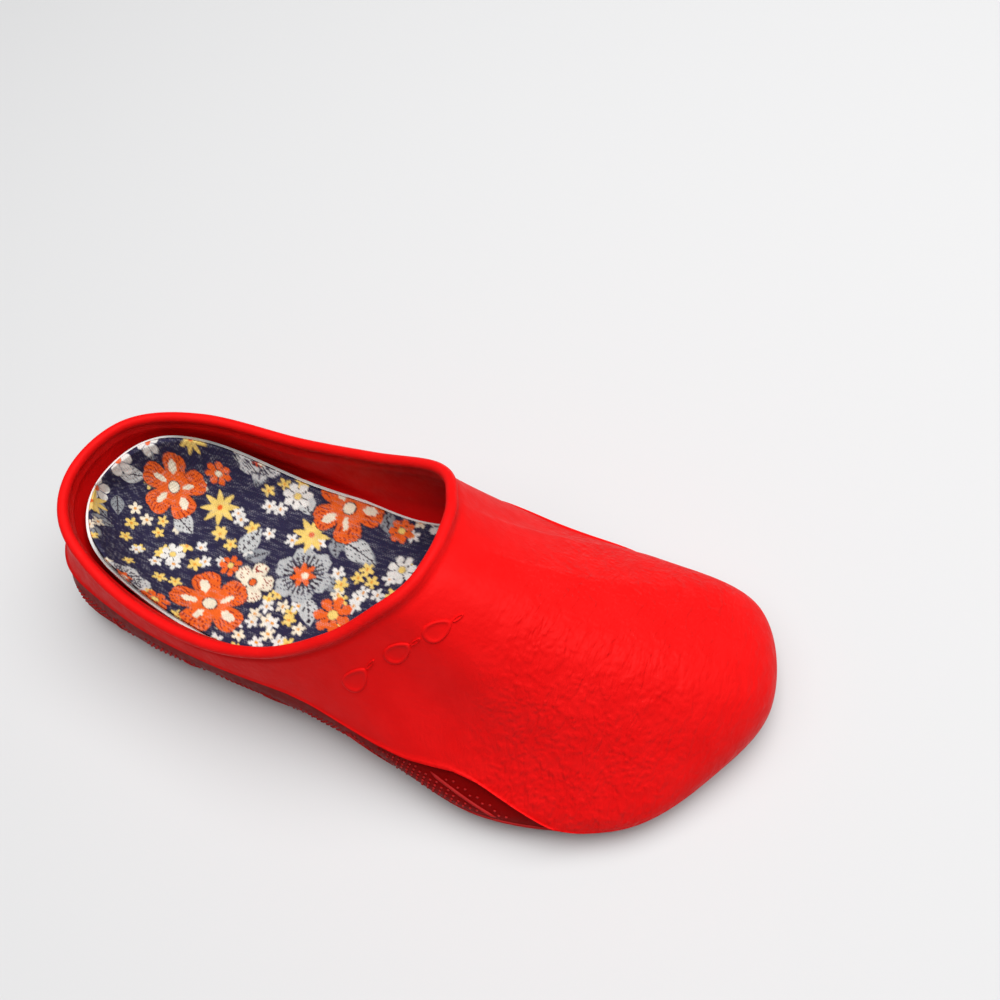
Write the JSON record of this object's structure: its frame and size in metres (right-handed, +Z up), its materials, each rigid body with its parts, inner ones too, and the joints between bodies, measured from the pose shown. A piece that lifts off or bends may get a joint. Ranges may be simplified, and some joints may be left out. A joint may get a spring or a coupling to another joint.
{
  "type": "rubber garden clog",
  "caption": "Slip-on moulded garden clog for the right foot: closed toe, open back with a rolled rim, cupped outsole and a lift-out printed footbed with a heel cup.",
  "frame": {"origin": "on the ground, under the middle of the clog's outer box", "axes": "+X from heel to toe, +Y to the inner (big toe) side of the right foot, +Z up"},
  "size_m": [0.2566, 0.0998, 0.0749],
  "materials": {
    "upper": "satin moulded, leather-like grain",
    "outsole": "satin moulded, with dotted panels",
    "backing": "matt non-woven",
    "core": "cork-filled foam",
    "cushion": "white foam",
    "cover": "printed cotton canvas"
  },
  "bodies": {
    "shell": {"upper_shell": "upper", "outsole": "outsole"},
    "footbed": {"footbed_backing": "backing", "footbed_core": "core", "footbed_cushion": "cushion", "footbed_cover": "cover"}
  },
  "joints": [
    {"name": "footbed_lift", "type": "hinge", "parent": "shell", "child": "footbed", "pos_m": [0.121, 0.01, 0.022], "axis": [0, 1, 0], "range_deg": [0, 6]}
  ]
}
